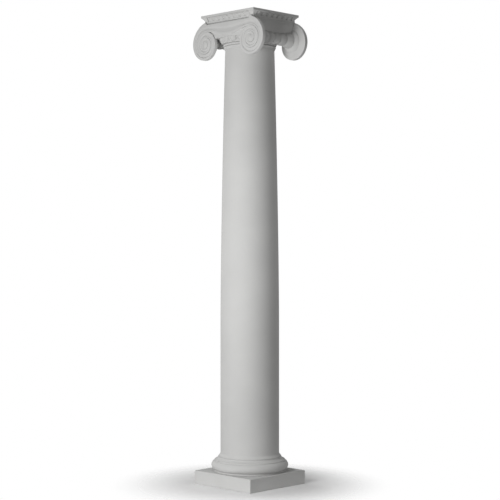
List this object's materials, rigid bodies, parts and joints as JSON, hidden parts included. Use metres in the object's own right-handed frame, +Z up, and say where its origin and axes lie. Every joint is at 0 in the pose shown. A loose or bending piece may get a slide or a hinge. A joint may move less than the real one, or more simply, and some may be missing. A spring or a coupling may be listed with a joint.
{
  "type": "ionic column",
  "caption": "Freestanding stone column with a square plinth, round base moulding, plain tapering shaft and a scrolled Ionic capital that carries a beam.",
  "frame": {"origin": "on the ground, at the middle of the plinth's underside, under the column's axis", "axes": "+Z up along the column's axis, the two volute faces of the capital look along -Y and +Y, and the bolsters are at -X and +X"},
  "size_m": [0.5108, 0.4064, 2.4384],
  "materials": {
    "plinth_stone": "matte",
    "base_stone": "matte",
    "shaft_stone": "matte",
    "capital_stone": "matte"
  },
  "bodies": {
    "root": {"plinth": "plinth_stone", "base_moulding": "base_stone", "shaft": "shaft_stone", "capital": "capital_stone"}
  },
  "joints": []
}
